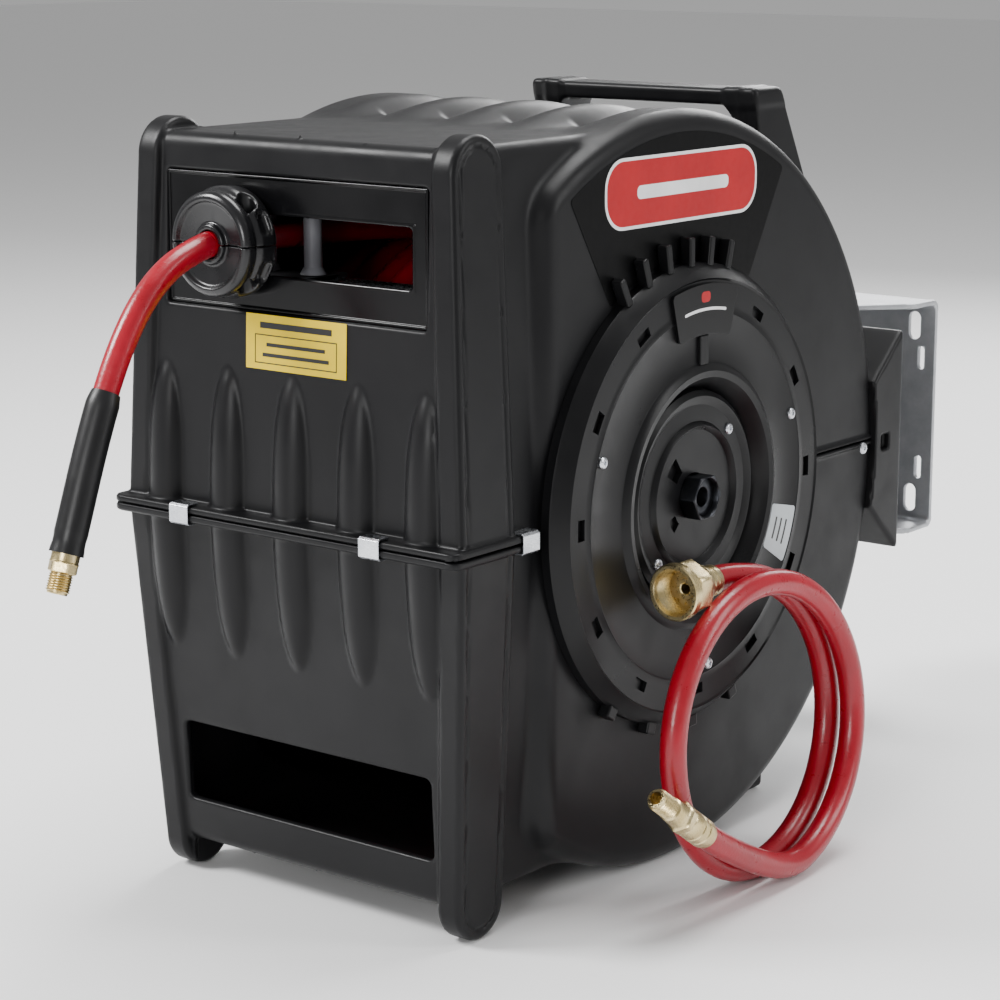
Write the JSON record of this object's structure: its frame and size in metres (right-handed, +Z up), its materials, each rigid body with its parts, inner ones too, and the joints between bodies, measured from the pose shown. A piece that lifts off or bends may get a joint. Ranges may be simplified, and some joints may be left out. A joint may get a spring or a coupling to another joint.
{
  "type": "retractable hose reel",
  "caption": "Wall-mounted retractable hose reel in a moulded case with a levelwind hose guide, swivel bracket, hose stop and loose lead-in hose.",
  "frame": {"origin": "on the ground, under the middle of the reel's box without its loose hoses", "axes": "+Z up, -Y towards the side that the hose comes out of, +Y towards the wall, +X to the right-hand side cover when facing +Y"},
  "size_m": [0.363, 0.7304, 0.471],
  "materials": {
    "case_plastic": "satin moulded polypropylene",
    "bezel_plastic": "polished black",
    "yellow_label": "printed vinyl",
    "decal": "printed vinyl",
    "grey_label": "printed foil",
    "zinc_steel": "bright zinc plate",
    "bracket_steel": "grey powder coat",
    "spring_steel": "blued",
    "bush_bronze": "oiled bronze",
    "belt_rubber": "matt",
    "drum_plastic": "satin",
    "stop_plastic": "satin",
    "roller_plastic": "satin acetal",
    "restrictor_rubber": "satin",
    "red_hose": "glossy braided hose",
    "brass": "machined"
  },
  "bodies": {
    "case": {"upper_shell": "case_plastic", "lower_shell": "case_plastic", "window_bezel": "bezel_plastic", "caution_label": "yellow_label", "lip_clips": "zinc_steel", "side_cover_right": "case_plastic", "side_cover_left": "case_plastic", "hub_cap_right": "case_plastic", "hub_cap_left": "case_plastic", "side_decal_right": "decal", "side_decal_left": "decal", "name_plaque": "bezel_plastic", "rating_label": "grey_label", "cover_screws": "zinc_steel", "carry_handle": "case_plastic", "pivot_block": "case_plastic", "axle": "spring_steel", "axle_nut": "spring_steel", "spring_arbor": "zinc_steel", "mainspring": "spring_steel", "screw_bushes": "bush_bronze", "guide_rod_front": "zinc_steel", "guide_rod_back": "zinc_steel", "levelwind_belt": "belt_rubber", "pawl_pin": "zinc_steel", "lead_hose_coil": "red_hose", "lead_hose_inlet": "red_hose", "lead_hose_outlet": "red_hose", "lead_male_fitting": "brass", "coupling_tail": "brass"},
    "bracket": {"wall_bracket": "bracket_steel", "pivot_pin": "zinc_steel", "pivot_nuts": "zinc_steel"},
    "drum": {"drum_core": "drum_plastic", "drum_flange_left": "drum_plastic", "drum_flange_right": "drum_plastic", "hose_pack": "red_hose", "drum_bushes": "bush_bronze", "drum_pulley": "drum_plastic", "ratchet_wheel": "zinc_steel"},
    "screw": {"levelwind_screw": "zinc_steel", "screw_pulley": "drum_plastic"},
    "carriage": {"carriage": "drum_plastic", "screw_follower": "drum_plastic", "roller_pins": "zinc_steel", "hose_stop_upper": "stop_plastic", "hose_stop_lower": "stop_plastic", "stop_screws": "zinc_steel", "inner_hose": "red_hose", "outlet_hose": "red_hose", "bend_restrictor": "restrictor_rubber", "outlet_fitting": "brass"},
    "roller_left": {"guide_roller_left": "roller_plastic"},
    "roller_right": {"guide_roller_right": "roller_plastic"},
    "pawl": {"pawl": "zinc_steel"},
    "inlet": {"inlet_swivel": "brass"},
    "coupling": {"coupling_nut": "brass"}
  },
  "joints": [
    {"name": "drum_spin", "type": "hinge", "parent": "case", "child": "drum", "pos_m": [0, -0.062, 0.234], "axis": [1, 0, 0], "range_deg": [0, 2160]},
    {"name": "carriage_slide", "type": "slide", "parent": "case", "child": "carriage", "axis": [1, 0, 0], "range_m": [0, 0.1021]},
    {"name": "screw_spin", "type": "hinge", "parent": "case", "child": "screw", "pos_m": [0, -0.234, 0.43], "axis": [1, 0, 0], "range_deg": [0, 2160]},
    {"name": "roller_left_spin", "type": "hinge", "parent": "carriage", "child": "roller_left", "pos_m": [-0.059, -0.23, 0.395], "axis": [0, 0, 1], "continuous": true},
    {"name": "roller_right_spin", "type": "hinge", "parent": "carriage", "child": "roller_right", "pos_m": [-0.023, -0.23, 0.395], "axis": [0, 0, 1], "continuous": true},
    {"name": "pawl_pivot", "type": "hinge", "parent": "case", "child": "pawl", "pos_m": [-0.101, -0.02, 0.314], "axis": [1, 0, 0], "range_deg": [-18, 18], "stiffness_Nm_per_rad": 0.3},
    {"name": "bracket_swivel", "type": "hinge", "parent": "case", "child": "bracket", "pos_m": [0, 0.183, 0.229], "axis": [0, 0, 1], "range_deg": [-45, 45]},
    {"name": "inlet_spin", "type": "hinge", "parent": "case", "child": "inlet", "pos_m": [-0.135, -0.062, 0.234], "axis": [1, 0, 0], "continuous": true},
    {"name": "coupling_spin", "type": "hinge", "parent": "case", "child": "coupling", "pos_m": [0.162, -0.11, 0.189], "axis": [0, 1, 0], "continuous": true}
  ],
  "couplings": [
    {"joint": "carriage_slide", "follows": "drum_spin", "m_per_rad": 0.0027056},
    {"joint": "screw_spin", "follows": "drum_spin", "ratio": 1}
  ]
}
